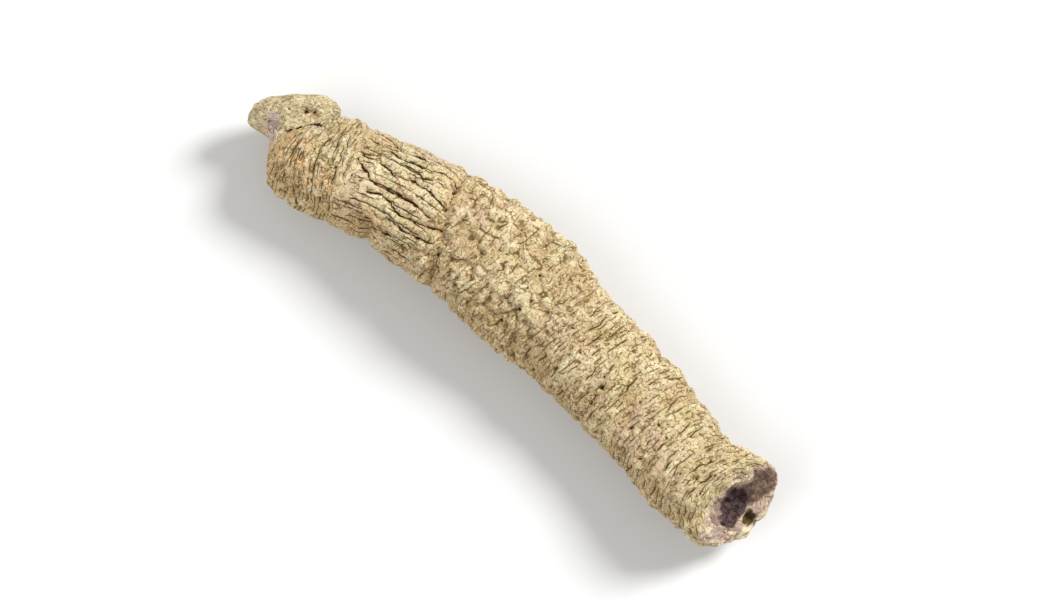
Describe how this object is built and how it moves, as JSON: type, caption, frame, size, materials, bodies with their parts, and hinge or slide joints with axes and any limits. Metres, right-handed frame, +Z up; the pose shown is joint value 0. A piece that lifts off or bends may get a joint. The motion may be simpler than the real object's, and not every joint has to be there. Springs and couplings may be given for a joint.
{
  "type": "dried morinda root",
  "caption": "Dried morinda root: a slightly bent, wrinkled root stick with cross cracks and long furrows, a disc-shaped knob at the crown end and an oblique cut end with a dark core.",
  "frame": {"origin": "on the surface that the root lies on, under the middle of its bounding box", "axes": "+X along the root from the knob at the crown end to the cut end, +Y towards the outside of its bend, +Z up"},
  "size_m": [0.0982, 0.0248, 0.0169],
  "materials": {
    "dried_root_skin": "matte dried bark, cream to tan, with brown furrows"
  },
  "bodies": {
    "root": {"morinda_root": "dried_root_skin"}
  },
  "joints": []
}
